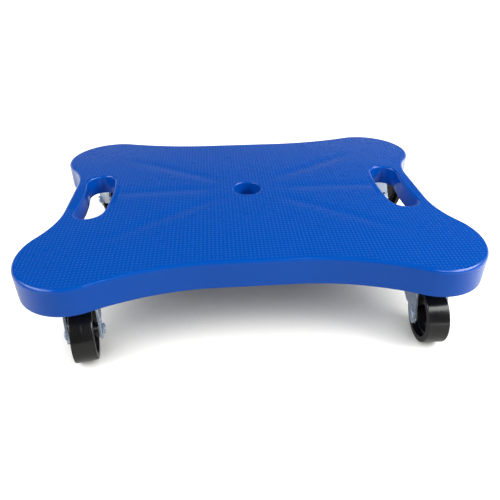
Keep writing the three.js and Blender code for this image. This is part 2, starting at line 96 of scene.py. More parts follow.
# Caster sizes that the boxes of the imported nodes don't give
PLATE_CORNER = 6 * MM
SCREW_SPACING = (46 * MM, 34 * MM)
SCREW_HOLE = 2.8 * MM
SCREW_SHANK = 2.2 * MM
SCREW_HEAD_HEIGHT = 2.4 * MM
SCREW_HEAD_DOME = 0.1 * MM
SCREW_TAPER = 3 * MM
DRIVE_WIDTH = 1.1 * MM
DRIVE_LENGTH = 4.8 * MM
DRIVE_DEPTH = 1.5 * MM
PIN_RADIUS = 4.2 * MM
PIN_HEAD_HEIGHT = 2 * MM
PIN_HEAD_DOME = 0.2 * MM
CUP_THICKNESS = 1.8 * MM
CUP_SKIRT = 1.6 * MM
BALL_PITCH = 14 * MM
BALL_RADIUS = 1.9 * MM
BALL_COUNT = 8
CAGE_WIDTH = 3.4 * MM
CAGE_THICKNESS = 0.8 * MM
FIT = 0.3 * MM
FORK_WIDTH = 29 * MM
FORK_SHEET = 2.1 * MM
FORK_BEND = 3.4 * MM
CROWN_RADIUS = 17 * MM
CROWN_BACK = 14 * MM
CROWN_FRONT = 25.5 * MM
CROWN_EDGE = 2 * MM
SKIRT_DROP = 16 * MM
FLARE_AHEAD, FLARE_DROP = 1 * MM, 22.5 * MM
KNEE_AHEAD, KNEE_DROP = 12.5 * MM, 27.5 * MM
LEG_END = 6.1 * MM
LEG_END_DROP = 3 * MM
LOCK_HOLE = 1.5 * MM
LOCK_RISE = 8 * MM
LOCK_BACK = 1.5 * MM
TREAD_WIDTH = 19 * MM
TREAD_ROUND = 1.2 * MM
RIM_THICKNESS = 5 * MM
HUB_RADIUS = 6.8 * MM
RIM_SLOPE, HUB_SLOPE = 0.8 * MM, 0.5 * MM
WEB = 6 * MM
PARTING_HEIGHT = 0.05 * MM
PARTING_WIDTH = 0.9 * MM
BOLT_RADIUS = 3 * MM
SLEEVE_WALL = 1 * MM
NUT_FLATS = 8 * MM
HEAD_RADIUS = 4.6 * MM
HEAD_HEIGHT = 1.8 * MM
NUT_HEIGHT = 2.4 * MM
TIP_REACH, TIP_LENGTH, TIP_CHAMFER = 0.5 * MM, 0.6 * MM, 0.7 * MM
THREAD_PITCH = 1 * MM
THREAD_DEPTH = 0.5 * MM
THREAD_LENGTH = 3 * MM
NUT_CHAMFER = 0.7 * MM
PLATE_SOFTNESS, FORK_SOFTNESS, NUT_SOFTNESS = 0.35 * MM, 0.4 * MM, 0.12 * MM
SHEET_ROUND = 0.2 * MM
POLE_ANGLE = 0.05           # left open at the poles of a ball
AXIS_GAP = 0.1 * MM         # how near its axis a turned solid starts and ends

# How finely curves are cut
LOBE_STEPS = 56
LONG_STEPS = 36
SHORT_STEPS = 24
FILLET_STEPS = 8
RIM_STEPS = 3
CAMBER_STEPS = 16
SMALLEST_COPY = 0.04        # of the outline's copies that carry the camber to the middle
SLOT_STEPS = 32
ROUND_STEPS = 64
SMALL_ROUND_STEPS = 48
BALL_STEPS, BALL_ROUND_STEPS = 16, 32
DOME_STEPS = 12
WHEEL_STEPS = 128

# Camera: fitted to the photograph. The target lies at the height of the lobes' middles.
PHOTO_SIZE = 500
FOCAL_PIXELS = 495.4
PRINCIPAL_POINT = (249.9, 210.2)
CAMERA_YAW = math.radians(-4.275)
CAMERA_ELEVATION = math.radians(29.39)
CAMERA_ROLL = math.radians(-0.163)
CAMERA_DISTANCE = 478.1 * MM
CAMERA_TARGET = (-0.19 * MM, -40.84 * MM)

# Heights at the lobes' middles, from which the camber rises
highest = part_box("deck")[1][2] + LEVEL_DROP
deck_top = highest - RISE_X - RISE_Y
rim_z = deck_top - WALL_HEIGHT
lowest = rim_z - RISE_X - RISE_Y
pad_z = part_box("front_left_mounting_plate")[1][2] + FIT
rib_z = pad_z + RIB_RECESS
slot_floor = deck_top + RISE_Y - SLOT_DEPTH
pivot_x = DECK_LENGTH / 2 - LOBE_RADIUS
pivot_y = DECK_DEPTH / 2 - LOBE_RADIUS
pivots = {joint["name"]: joint["pos_m"] for joint in frame["joints"]}
PLACES = {"front_left": (-1, -1), "front_right": (1, -1), "back_left": (-1, 1), "back_right": (1, 1)}


# Meshes

def show(piece):
    bpy.context.scene.collection.objects.link(piece)


def mesh_object(name, vertices, faces):
    """A new object in the scene from an array of points and a list of faces."""
    mesh = bpy.data.meshes.new(name)
    mesh.from_pydata(np.asarray(vertices).tolist(), [], faces)
    mesh.validate()
    piece = bpy.data.objects.new(name, mesh)
    show(piece)
    return piece


def grid_faces(rows, columns, closed):
    """Quads between the points of a grid whose columns wrap round, and whose rows do if closed."""
    row_numbers = np.arange(rows if closed else rows - 1)
    row, column = np.meshgrid(row_numbers, np.arange(columns), indexing="ij")
    after, beside = (row + 1) % rows, (column + 1) % columns
    start, stop = row * columns, after * columns
    corners = [start + column, start + beside, stop + beside, stop + column]
    return np.stack(corners, axis=-1).reshape(-1, 4).tolist()


def loft(name, rings):
    """Closed solid through rings of points, all with the same count, with a cap at each end."""
    rings = np.asarray(rings)
    rows, columns = rings.shape[:2]
    last = (rows - 1) * columns
    caps = [list(range(columns))[::-1], list(range(last, last + columns))]
    return mesh_object(name, rings.reshape(-1, 3), grid_faces(rows, columns, False) + caps)


def rings_about_z(profile, steps):
    """A ring of points for each point (r, h) of a profile: at angle a it is (r cos a, r sin a, h)."""
    profile = np.asarray(profile)
    angles = np.arange(steps) * math.tau / steps
    radius, height = profile[:, 0][:, None], profile[:, 1][:, None]
    heights = np.broadcast_to(height, (len(profile), steps))
    return np.stack([radius * np.cos(angles), radius * np.sin(angles), heights], axis=-1)


def turned(name, profile, steps=ROUND_STEPS):
    """Ring turned about Z from a closed profile."""
    points = rings_about_z(profile, steps).reshape(-1, 3)
    return mesh_object(name, points, grid_faces(len(profile), steps, True))


def turned_solid(name, profile, steps=ROUND_STEPS):
    """Solid turned about Z from an open profile that starts and ends near the axis, capped there."""
    return loft(name, rings_about_z(profile, steps))


def rounded(points, radius, steps, closed=True):
    """Outline with its corners rounded: each corner becomes a curve (1-t)^2 A + 2t(1-t) P + t^2 B
    between the points A and B that lie radius along its two sides, or 45% of a shorter side."""
    points = np.asarray(points, float)
    before, after = np.roll(points, 1, axis=0) - points, np.roll(points, -1, axis=0) - points
    reach = np.broadcast_to(radius, len(points))
    lengths = [np.linalg.norm(side, axis=1) for side in (before, after)]
    start, end = [points + side * (np.minimum(reach, 0.45 * length) / length)[:, None]
                  for side, length in zip((before, after), lengths)]
    t = np.linspace(0, 1, steps + 1)[None, :, None]
    curves = (1 - t) ** 2 * start[:, None] + 2 * t * (1 - t) * points[:, None] + t ** 2 * end[:, None]
    if closed:
        return curves.reshape(-1, 2)
    return np.concatenate([points[:1], curves[1:-1].reshape(-1, 2), points[-1:]])


def arc(centre, radius, start, stop, steps):
    """Points (x + r cos a, y + r sin a) for angles a from start to stop, both ends included."""
    angles = np.linspace(start, stop, steps + 1)
    return np.stack([centre[0] + radius * np.cos(angles), centre[1] + radius * np.sin(angles)], axis=1)


def level(outline, z):
    """An outline of (x, y) points at one height."""
    return np.column_stack([outline, np.full(len(outline), z)])


def prism(name, outline, low, high):
    """An outline stood up between two heights."""
    return loft(name, [level(outline, low), level(outline, high)])


def block(name, low, high):
    """A straight-sided tool for cutting or joining, between two corners."""
    outline = [(low[0], low[1]), (high[0], low[1]), (high[0], high[1]), (low[0], high[1])]
    return prism(name, outline, low[2], high[2])


def cylinder(name, radius, low, high):
    return prism(name, arc((0, 0), radius, 0, math.tau, ROUND_STEPS)[:-1], low, high)


def moved(piece, matrix):
    """Moves a piece's mesh, so that its object stays at the origin."""
    piece.data.transform(matrix)
    return piece


def shifted(piece, x, y, z=0):
    return moved(piece, Matrix.Translation((x, y, z)))


def combine(base, joins=(), cuts=(), keeps=()):
    """Joins, cuts and intersects base with other solids, which are used up."""
    kinds = {"UNION": joins, "INTERSECT": keeps, "DIFFERENCE": cuts}
    steps = [(tool, operation) for operation, tools in kinds.items() for tool in tools]
    for tool, operation in steps:
        modifier = base.modifiers.new(operation, "BOOLEAN")
        modifier.object = tool
        modifier.operation = operation
        modifier.solver = "MANIFOLD"
    settle(base)
    for tool, _ in steps:
        bpy.data.meshes.remove(tool.data)
    return base


def settle(piece):
    """Applies a piece's modifiers to its mesh, and drops the empty material slots that joining leaves."""
    bpy.context.view_layer.update()
    final = piece.evaluated_get(bpy.context.evaluated_depsgraph_get())
    mesh = bpy.data.meshes.new_from_object(final)
    mesh.materials.clear()
    old = piece.data
    piece.modifiers.clear()
    piece.data = mesh
    mesh.name = piece.name
    bpy.data.meshes.remove(old)


def soften(piece, width, segments=2, angle=40):
    """Rounds every edge sharper than the angle, as a tool or a press leaves it."""
    bevel = piece.modifiers.new("soft_edges", "BEVEL")
    bevel.width = width
    bevel.segments = segments
    bevel.limit_method = "ANGLE"
    bevel.angle_limit = math.radians(angle)
    settle(piece)


def smooth(piece, angle=35):
    """Smooth shading with edges past the angle kept sharp, weighted so that flat faces stay flat."""
    piece.data.shade_smooth()
    piece.data.set_sharp_from_angle(angle=math.radians(angle))
    weighted = piece.modifiers.new("flat_faces", "WEIGHTED_NORMAL")
    weighted.keep_sharp = True
    weighted.weight = 100
    return piece


# Deck

def camber(outline):
    """Rise of the deck over the lobes' middles: the falls rx (x / px)^2 + ry (y / py)^2 from the middle,
    rounded off where they are small as sqrt(fall^2 + drop^2), taken from the full rise rx + ry."""
    share = np.asarray(outline) / (pivot_x, pivot_y)
    fall = share ** 2 @ (RISE_X, RISE_Y)
    return RISE_X + RISE_Y - np.hypot(fall, LEVEL_DROP)


def cambered(outline, z):
    """An outline of (x, y) points that follows the camber, z being its height at the lobes' middles."""
    return np.column_stack([outline, z + camber(outline)])


def cambered_top(outline, z):
    """The outline and smaller and smaller copies of it, all on the camber."""
    return [cambered(outline * share, z) for share in np.linspace(1, SMALLEST_COPY, CAMBER_STEPS)]


def hollow_radius(along, across):
    """Radius of the arc that starts square to a straight and meets a lobe smoothly."""
    return (along ** 2 + across ** 2 - LOBE_RADIUS ** 2) / (2 * (LOBE_RADIUS + across))


def deck_outline(inset):
    """The outline moved inwards by inset: lobes of radius r - inset joined by hollow arcs of radius R + inset
    about the same centres, with a straight in the middle of each side. Anticlockwise."""
    short_start = (WAIST_LENGTH / 2, SHORT_STRAIGHT / 2)
    long_end = (LONG_STRAIGHT / 2, WAIST_DEPTH / 2)
    short_hollow = hollow_radius(pivot_y - short_start[1], pivot_x - short_start[0])
    long_hollow = hollow_radius(pivot_x - long_end[0], pivot_y - long_end[1])
    short_centre = (short_start[0] + short_hollow, short_start[1])
    long_centre = (long_end[0], long_end[1] + long_hollow)
    to_short = math.atan2(short_centre[1] - pivot_y, short_centre[0] - pivot_x)
    to_long = math.atan2(long_centre[1] - pivot_y, long_centre[0] - pivot_x)
    quarter = np.concatenate([
        arc(short_centre, short_hollow + inset, math.pi, to_short + math.pi, SHORT_STEPS)[:-1],
        arc((pivot_x, pivot_y), LOBE_RADIUS - inset, to_short, to_long, LOBE_STEPS),
        arc(long_centre, long_hollow + inset, to_long - math.pi, -math.pi / 2, LONG_STEPS)[1:],
    ])
    half = np.concatenate([quarter, (quarter * (-1, 1))[::-1]])
    return np.concatenate([half, -half])


def quarter_round(radius, steps=FILLET_STEPS):
    """Points (r (1 - cos a), r (1 - sin a)) of a rounded edge: how far in, and how far from the face."""
    angles = np.linspace(0, math.pi / 2, steps + 1)
    return [(radius * (1 - math.cos(angle)), radius * (1 - math.sin(angle))) for angle in angles]


def deck_block():
    """Wall with its draft, a small round at the rim, and the edge fillet."""
    rim = [(WALL_DRAFT + inset, rim_z + rise) for inset, rise in quarter_round(RIM_ROUND, RIM_STEPS)[::-1]]
    edge = [(inset, deck_top - drop) for inset, drop in quarter_round(EDGE_FILLET)[:-1]]
    rings = [cambered(deck_outline(inset), z) for inset, z in rim + edge]
    return loft("deck_moulding", rings + cambered_top(deck_outline(EDGE_FILLET), deck_top))


def deck_hollow():
    """The space under the skin, whose side goes on along the wall's draft below the rim."""
    slope = WALL_DRAFT / (WALL_HEIGHT - EDGE_FILLET)
    low_inset = WALL + WALL_DRAFT + slope * (rim_z - lowest)
    top = cambered_top(deck_outline(WALL + EDGE_FILLET / 2), deck_top - SKIN)
    return loft("deck_hollow", [level(deck_outline(low_inset), lowest), *top])


def deck_inside():
    """What ribs, tubes and pads may fill: up to the skin's middle and out to the wall's middle."""
    outline = deck_outline(WALL_DRAFT + WALL / 2)
    return loft("inside", [level(outline, pad_z - OVERRUN), *cambered_top(outline, deck_top - SKIN / 2)])


def slot_outline(side, margin):
    """Bean-shaped outline, grown by a margin: a line x = c + bow (y / L)^2, widened by w square to itself,
    with a half circle at each end. The side is -1 or 1."""
    half_width = SLOT_HALF_WIDTH + margin
    y = np.linspace(-1, 1, SLOT_STEPS + 1) * (SLOT_HALF_LENGTH - SLOT_HALF_WIDTH)
    x = SLOT_CENTRE + SLOT_BOW * (y / SLOT_HALF_LENGTH) ** 2
    slope = 2 * SLOT_BOW * y / SLOT_HALF_LENGTH ** 2
    square = np.stack([np.ones_like(y), -slope], axis=1) / np.hypot(1, slope)[:, None]
    middle = np.stack([x, y], axis=1)
    outer, inner = middle + half_width * square, middle - half_width * square
    turn = math.atan2(square[-1, 1], square[-1, 0])
    top = arc(middle[-1], half_width, turn, turn + math.pi, SLOT_STEPS // 2)[1:-1]
    turn = math.atan2(-square[0, 1], -square[0, 0])
    bottom = arc(middle[0], half_width, turn, turn + math.pi, SLOT_STEPS // 2)[1:-1]
    outline = np.concatenate([outer, top, inner[::-1], bottom])
    return outline if side > 0 else (outline * (-1, 1))[::-1]


def hole_outline(margin):
    return arc((0, 0), HOLE_RADIUS + margin, 0, math.tau, ROUND_STEPS)[:-1]


def flared_cut(outline_at, low, lip):
    """A cut whose top edge flares out in a quarter round."""
    rings = [cambered(outline_at(margin), deck_top - drop) for margin, drop in quarter_round(lip)]
    over = cambered(outline_at(lip), deck_top + OVERRUN)
    return loft("flared_cut", [level(outline_at(0), low), *rings, over])


def rib(start, end):
    """A rib between two points: the line widened by half the rib's thickness to each side."""
    start, end = np.asarray(start), np.asarray(end)
    along = (end - start) / np.linalg.norm(end - start)
    across = np.array([-along[1], along[0]]) * RIB / 2
    return prism("rib", [start - across, end - across, end + across, start + across], rib_z, highest)


def deck_ribs():
    """The grid of ribs whose outer lines run along the pads' inner walls, and the two diagonals."""
    plate_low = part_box("back_right_mounting_plate")[0]
    last_x = plate_low[0] - PAD_MARGIN + RIB / 2
    last_y = plate_low[1] - PAD_MARGIN + RIB / 2
    lines_x = [last_x * line / RIB_BAYS_X for line in range(-RIB_BAYS_X, RIB_BAYS_X + 1)]
    lines_y = [last_y * line / RIB_BAYS_Y for line in range(-RIB_BAYS_Y, RIB_BAYS_Y + 1)]
    ribs = [rib((x, -DECK_DEPTH / 2), (x, DECK_DEPTH / 2)) for x in lines_x]
    ribs += [rib((-DECK_LENGTH / 2, y), (DECK_LENGTH / 2, y)) for y in lines_y]
    return ribs + [rib((-pivot_x, -side * pivot_y), (pivot_x, side * pivot_y)) for side in (-1, 1)]


def pad_block(place, margin, low, high):
    """A block over a mounting plate, wider than it by the margin."""
    plate_low, plate_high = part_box(place + "_mounting_plate")
    return block("pad", (plate_low[0] - margin, plate_low[1] - margin, low),
                 (plate_high[0] + margin, plate_high[1] + margin, high))


def screw_places(x=0, y=0):
    """The four screws about a pivot, in the order of their numbers."""
    return [(x + side_x * SCREW_SPACING[0] / 2, y + side_y * SCREW_SPACING[1] / 2)
            for side_y in (-1, 1) for side_x in (-1, 1)]


def screw_cylinders(radius, low, high, x=0, y=0):
    return [shifted(cylinder("screw_place", radius, low, high), *place) for place in screw_places(x, y)]


def lobe_middle(place):
    side_x, side_y = PLACES[place]
    return side_x * pivot_x, side_y * pivot_y


def pad_pieces(place):
    """The frame, cross ribs, well and bosses that carry one mounting plate."""
    x, y = lobe_middle(place)
    plate_low, plate_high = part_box(place + "_mounting_plate")
    pad = pad_block(place, PAD_MARGIN, pad_z, highest)
    combine(pad, cuts=[pad_block(place, PAD_MARGIN - RIB, pad_z - OVERRUN, highest + OVERRUN)])
    cross = [block("rib", (plate_low[0], y - RIB / 2, pad_z), (plate_high[0], y + RIB / 2, highest)),
             block("rib", (x - RIB / 2, plate_low[1], pad_z), (x + RIB / 2, plate_high[1], highest))]
    well = shifted(cylinder("well", WELL_RADIUS + WELL_WALL, pad_z, highest), x, y)
    return [pad, *cross, well, *screw_cylinders(BOSS_RADIUS, pad_z, highest, x, y)]


def pad_cuts(place):
    """The well over the kingpin's head and the pilot holes of the screws."""
    x, y = lobe_middle(place)
    well_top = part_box(place + "_kingpin")[1][2] + WELL_SPARE
    pilot_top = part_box(place + "_screw_1")[1][2] + PILOT_SPARE
    well = shifted(cylinder("well", WELL_RADIUS, pad_z - OVERRUN, well_top), x, y)
    return [well, *screw_cylinders(PILOT_RADIUS, pad_z - OVERRUN, pilot_top, x, y)]


def make_deck():
    """Block less hollow, with ribs, pads, slot walls and hole tube, less slots, hole and wells."""
    ribs = combine(rib((-DECK_LENGTH / 2, 0), (DECK_LENGTH / 2, 0)), joins=deck_ribs())
    reliefs = [prism("relief", slot_outline(side, SLOT_CLEARANCE), pad_z - OVERRUN, slot_floor)
               for side in (-1, 1)]
    insides = [pad_block(place, PAD_MARGIN - RIB, pad_z - OVERRUN, highest + OVERRUN) for place in PLACES]
    combine(ribs, cuts=reliefs + insides)
    tube = cylinder("tube", HOLE_RADIUS + HOLE_WALL, rib_z, highest)
    slot_tubes = [prism("tube", slot_outline(side, SLOT_WALL), slot_floor, highest) for side in (-1, 1)]
    pads = [piece for place in PLACES for piece in pad_pieces(place)]
    combine(ribs, joins=[tube, *slot_tubes, *pads])
    combine(ribs, keeps=[deck_inside()])
    cuts = [flared_cut(hole_outline, pad_z - OVERRUN, HOLE_LIP)]
    cuts += [flared_cut(lambda margin, side=side: slot_outline(side, margin), pad_z - OVERRUN, SLOT_LIP)
             for side in (-1, 1)]
    cuts += [cut for place in PLACES for cut in pad_cuts(place)]
    deck = combine(deck_block(), cuts=[deck_hollow()])
    combine(deck, joins=[ribs])
    combine(deck, cuts=cuts)
    return smooth_deck(deck)


def smooth_deck(deck):
    """Smooth shading. Faces whose corners all lie on the camber get the second material and the camber's
    own normal, which at (x, y) points along (2 rx x / px^2, 2 ry y / py^2, 1)."""
    smooth(deck)
    settle(deck)
    mesh = deck.data
    points, normals = np.empty((len(mesh.vertices), 3)), np.empty((len(mesh.loops), 3))
    corners, starts = np.empty(len(mesh.loops), int), np.empty(len(mesh.polygons), int)
    mesh.vertices.foreach_get("co", points.ravel())
    mesh.corner_normals.foreach_get("vector", normals.ravel())
    mesh.loops.foreach_get("vertex_index", corners)
    mesh.polygons.foreach_get("loop_start", starts)
    away = np.abs(points[:, 2] - deck_top - camber(points[:, :2]))
    top = np.maximum.reduceat(away[corners], starts) < CAMBER_TOLERANCE
    mesh.polygons.foreach_set("material_index", top.astype(np.int32))
    fall = points[:, :2] * (2 * RISE_X / pivot_x ** 2, 2 * RISE_Y / pivot_y ** 2)
    slope = np.column_stack([fall, np.ones(len(points))])
    slope /= np.linalg.norm(slope, axis=1)[:, None]
    on_top = np.repeat(top, np.diff(np.append(starts, len(corners))))
    normals[on_top] = slope[corners[on_top]]
    mesh.normals_split_custom_set(normals.tolist())
    return deck


# Caster pieces, each made about its own pivot with the wheel trailing along +X

def levels(piece):
    """Lowest and highest z of a piece of the front left caster; all four casters are alike."""
    low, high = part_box("front_left_" + piece)
    return low[2], high[2]


def radius_of(piece):
    """Half the length along x of a piece of the front left caster, which is round about its pivot."""
    low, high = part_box("front_left_" + piece)
    return (high[0] - low[0]) / 2


axle, pivot = pivots["front_left_roll"], pivots["front_left_swivel"]
trail = (Vector(axle) - Vector(pivot)).to_2d().length
axle_z = axle[2]
crown_top = levels("fork")[1]
crown_under = crown_top - FORK_SHEET
fork_inside = FORK_WIDTH / 2 - FORK_SHEET
hub_half = fork_inside - FIT
face_out = FORK_WIDTH / 2 + FIT
ON_AXLE = Matrix.Translation((trail, 0, axle_z)) @ Matrix.Rotation(math.radians(-90), 4, "X")
UPRIGHT = Matrix.Rotation(math.radians(90), 4, "X")
ALONG_X = Matrix.Rotation(math.radians(90), 4, "Z")


def make_plate():
    """Rounded plate with a hole for the kingpin and each screw, and rolled edges."""
    low, high = levels("mounting_plate")
    box_low, box_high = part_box("front_left_mounting_plate")
    half_x, half_y = (box_high[0] - box_low[0]) / 2, (box_high[1] - box_low[1]) / 2
    corners = [(half_x, half_y), (-half_x, half_y), (-half_x, -half_y), (half_x, -half_y)]
    plate = prism("mounting_plate", rounded(corners, PLATE_CORNER, steps=10), low, high)
    pin_hole = cylinder("hole", PIN_RADIUS + FIT, low - OVERRUN, high + OVERRUN)
    combine(plate, cuts=[pin_hole, *screw_cylinders(SCREW_HOLE, low - OVERRUN, high + OVERRUN)])
    soften(plate, PLATE_SOFTNESS)
    return smooth(plate)


def make_cup():
    """Pressed race with a rolled shoulder and a skirt over the balls."""
    low, high = levels("race_cup")
    radius = radius_of("race_cup")
    under, inner = high - CUP_THICKNESS, radius - CUP_SKIRT
    bore = PIN_RADIUS + FIT
    profile = [(bore, under), (inner, under), (inner, low), (radius, low), (radius, high), (bore, high)]
    reach = np.array([0.3, 0.8, 0.4, 0.4, 2.2, 0.3]) * MM
    return smooth(turned("race_cup", rounded(profile, reach, steps=6)))


def make_balls():
    """Ring of balls in a flat cage. At the angle t from its pole a ball has the radius r sin t at the
    height r cos t."""
    low, high = levels("ball_ring")
    middle, thin = (low + high) / 2, CAGE_THICKNESS / 2
    inner, outer = BALL_PITCH - CAGE_WIDTH / 2, BALL_PITCH + CAGE_WIDTH / 2
    flat = [(inner, middle - thin), (outer, middle - thin), (outer, middle + thin), (inner, middle + thin)]
    cage = turned("ball_ring", rounded(flat, SHEET_ROUND, steps=2))
    tilt = np.linspace(math.pi - POLE_ANGLE, POLE_ANGLE, BALL_STEPS + 1)
    profile = np.stack([BALL_RADIUS * np.sin(tilt), middle + BALL_RADIUS * np.cos(tilt)], axis=1)
    balls = []
    for ball in range(BALL_COUNT):
        angle = math.pi / BALL_COUNT * (2 * ball + 1)
        sphere = turned_solid("ball", profile, BALL_ROUND_STEPS)
        balls.append(shifted(sphere, BALL_PITCH * math.cos(angle), BALL_PITCH * math.sin(angle)))
    return smooth(combine(cage, joins=balls), angle=60)


def make_pin():
    """Rivet with a domed head at each end, whose inner corners stay tight, clear of the fork and plate."""
    low, high = levels("kingpin")
    radius = radius_of("kingpin")
    head = [(AXIS_GAP, 0), (radius * 0.6, PIN_HEAD_DOME), (radius, PIN_HEAD_HEIGHT * 0.6),
            (radius, PIN_HEAD_HEIGHT), (PIN_RADIUS, PIN_HEAD_HEIGHT)]
    profile = [(r, low + h) for r, h in head] + [(r, high - h) for r, h in head[::-1]]
    reach = np.array([1.2] * 4 + [0.2] * 2 + [1.2] * 4) * MM
    return smooth(turned_solid("kingpin", rounded(profile, reach, steps=5, closed=False)), angle=50)


def make_screw():
    """Pan head with a cross drive in its underside, and a pointed shank."""
    low, high = levels("screw_1")
    radius, top = radius_of("screw_1"), low + SCREW_HEAD_HEIGHT
    profile = [(AXIS_GAP, low), (radius * 0.75, low + SCREW_HEAD_DOME), (radius, low + SCREW_HEAD_HEIGHT / 2),
               (radius, top), (SCREW_SHANK, top), (SCREW_SHANK, high - SCREW_TAPER), (AXIS_GAP, high)]
    reach = np.array([0, 1.4, 0.8, 0.15, 0.2, 0.3, 0]) * MM
    screw = turned_solid("screw", rounded(profile, reach, steps=4, closed=False), SMALL_ROUND_STEPS)
    long, short = DRIVE_LENGTH / 2, DRIVE_WIDTH / 2
    drive = block("drive", (-long, -short, low - OVERRUN), (long, short, low + DRIVE_DEPTH))
    across = block("drive", (-short, -long, low - OVERRUN), (short, long, low + DRIVE_DEPTH))
    combine(screw, cuts=[drive, across])
    return smooth(screw)


def fork_section():
    """Upside-down U of bent sheet, as (across, height) points: legs joined to the crown by quarter rounds."""
    low, half = axle_z - LEG_END_DROP - LEG_END - OVERRUN, FORK_WIDTH / 2
    bend_z, inner = crown_top - FORK_BEND, FORK_BEND - FORK_SHEET
    right, left = (half - FORK_BEND, bend_z), (-half + FORK_BEND, bend_z)
    quarter = math.pi / 2
    return np.concatenate([
        [(half, low)],
        arc(right, FORK_BEND, 0, quarter, FILLET_STEPS),
        arc(left, FORK_BEND, quarter, math.pi, FILLET_STEPS),
        [(-half, low), (-fork_inside, low)],
        arc(left, inner, math.pi, quarter, FILLET_STEPS),
        arc(right, inner, quarter, 0, FILLET_STEPS),
        [(fork_inside, low)],
    ])


def tangent_angle(centre, point, radius, turn):
    """Angle on a circle where the line from an outside point touches it: the point's own angle, turned
    by acos(r / d)."""
    dx, dz = point[0] - centre[0], point[1] - centre[1]
    return math.atan2(dz, dx) + turn * math.acos(radius / math.hypot(dx, dz))


def fork_profile():
    """Side view: a level crown, then legs that are wide above and narrow to a round end at the axle."""
    end = (trail, axle_z - LEG_END_DROP)
    knee = (KNEE_AHEAD, crown_top - KNEE_DROP)
    front = (CROWN_FRONT, crown_top - CROWN_EDGE)
    start = tangent_angle(end, knee, LEG_END, 1)
    stop = tangent_angle(end, front, LEG_END, -1) + math.tau
    top = crown_top + OVERRUN
    corners = rounded([(CROWN_FRONT, top), (-CROWN_BACK, top), (-CROWN_BACK, crown_top - SKIRT_DROP),
                       (FLARE_AHEAD, crown_top - FLARE_DROP), knee],
                      np.array([0.1, 0.1, 4, 9, 5]) * MM, steps=6)
    return np.concatenate([corners, arc(end, LEG_END, start, stop, SLOT_STEPS), [front]])


def make_fork():
    """Bent sheet cut to the side view, with a round crown, the kingpin hole, axle holes and lock holes."""
    half = FORK_WIDTH / 2 + OVERRUN
    bent = prism("fork", fork_section(), -CROWN_BACK - OVERRUN, trail + LEG_END + OVERRUN)
    moved(bent, ALONG_X @ UPRIGHT)
    profile = moved(prism("profile", fork_profile(), -half, half), UPRIGHT)
    crown = cylinder("crown", CROWN_RADIUS, crown_under, crown_top)
    holes = [cylinder("hole", PIN_RADIUS + FIT, crown_under - OVERRUN, crown_top + OVERRUN)]
    leg_holes = [(BOLT_RADIUS + FIT, trail, axle_z), (LOCK_HOLE, trail - LOCK_BACK, axle_z + LOCK_RISE)]
    for radius, x, z in leg_holes:
        holes.append(shifted(moved(cylinder("hole", radius, -half, half), UPRIGHT), x, 0, z))
    combine(bent, keeps=[profile])
    combine(bent, joins=[crown])
    combine(bent, cuts=holes)
    soften(bent, FORK_SOFTNESS, segments=3)
    return smooth(bent)


def make_wheel():
    """Rounded tread with a fine parting ridge, deep recessed faces, and a hub that nearly fills the fork."""
    bore = BOLT_RADIUS + 2 * FIT + SLEEVE_WALL
    radius = axle_z
    tread, web, rim = TREAD_WIDTH / 2, WEB / 2, radius - RIM_THICKNESS
    ridge = PARTING_WIDTH / 2
    face = radius - PARTING_HEIGHT
    half = [(face, ridge), (face, tread), (rim, tread), (rim - RIM_SLOPE, web), (HUB_RADIUS + HUB_SLOPE, web),
            (HUB_RADIUS, hub_half), (bore, hub_half)]
    reach = [0.2, TREAD_ROUND / MM, 0.5, 1.2, 1.2, 0.5, 0.4]
    profile = [(radius, 0), *half] + [(r, -w) for r, w in half[::-1]]
    reaches = np.array([0.2, *reach, *reach[::-1]]) * MM
    wheel = turned("wheel", rounded(profile, reaches, steps=6)[::-1], WHEEL_STEPS)
    return smooth(moved(wheel, ON_AXLE), angle=50)


def make_sleeve():
    """Tube on the bolt that the wheel turns on."""
    inner, outer = BOLT_RADIUS + FIT, BOLT_RADIUS + FIT + SLEEVE_WALL
    profile = [(inner, -hub_half), (outer, -hub_half), (outer, hub_half), (inner, hub_half)]
    return smooth(moved(turned("axle_sleeve", rounded(profile, SHEET_ROUND, steps=3)), ON_AXLE))


def thread(low, high, radius):
    """Ridged profile along a bolt: the radius falls by a triangle wave of the thread's pitch and depth."""
    turns = int((high - low) / THREAD_PITCH)
    heights = low + np.arange(2 * turns + 1) * THREAD_PITCH / 2
    depths = np.where(np.arange(2 * turns + 1) % 2, THREAD_DEPTH, 0)
    return np.stack([radius - depths, heights], axis=1)


def make_bolt():
    """Bolt with a low domed head, whose thread shows past the nut. At the share s of its radius the dome is
    h (1 - s^3) above its rim."""
    rim, end = -face_out - HEAD_HEIGHT / 4, face_out + NUT_HEIGHT + TIP_REACH
    share = np.linspace(0.02, 1, DOME_STEPS)
    dome = np.stack([HEAD_RADIUS * share, rim - HEAD_HEIGHT * 0.75 * (1 - share ** 3)], axis=1).tolist()
    body = [(HEAD_RADIUS, -face_out), (BOLT_RADIUS, -face_out)]
    ridges = thread(face_out - THREAD_LENGTH, end - TIP_LENGTH, BOLT_RADIUS).tolist()
    profile = dome + body + ridges + [(BOLT_RADIUS - TIP_CHAMFER, end), (AXIS_GAP, end)]
    return smooth(moved(turned_solid("axle_bolt", profile, SMALL_ROUND_STEPS), ON_AXLE), angle=40)


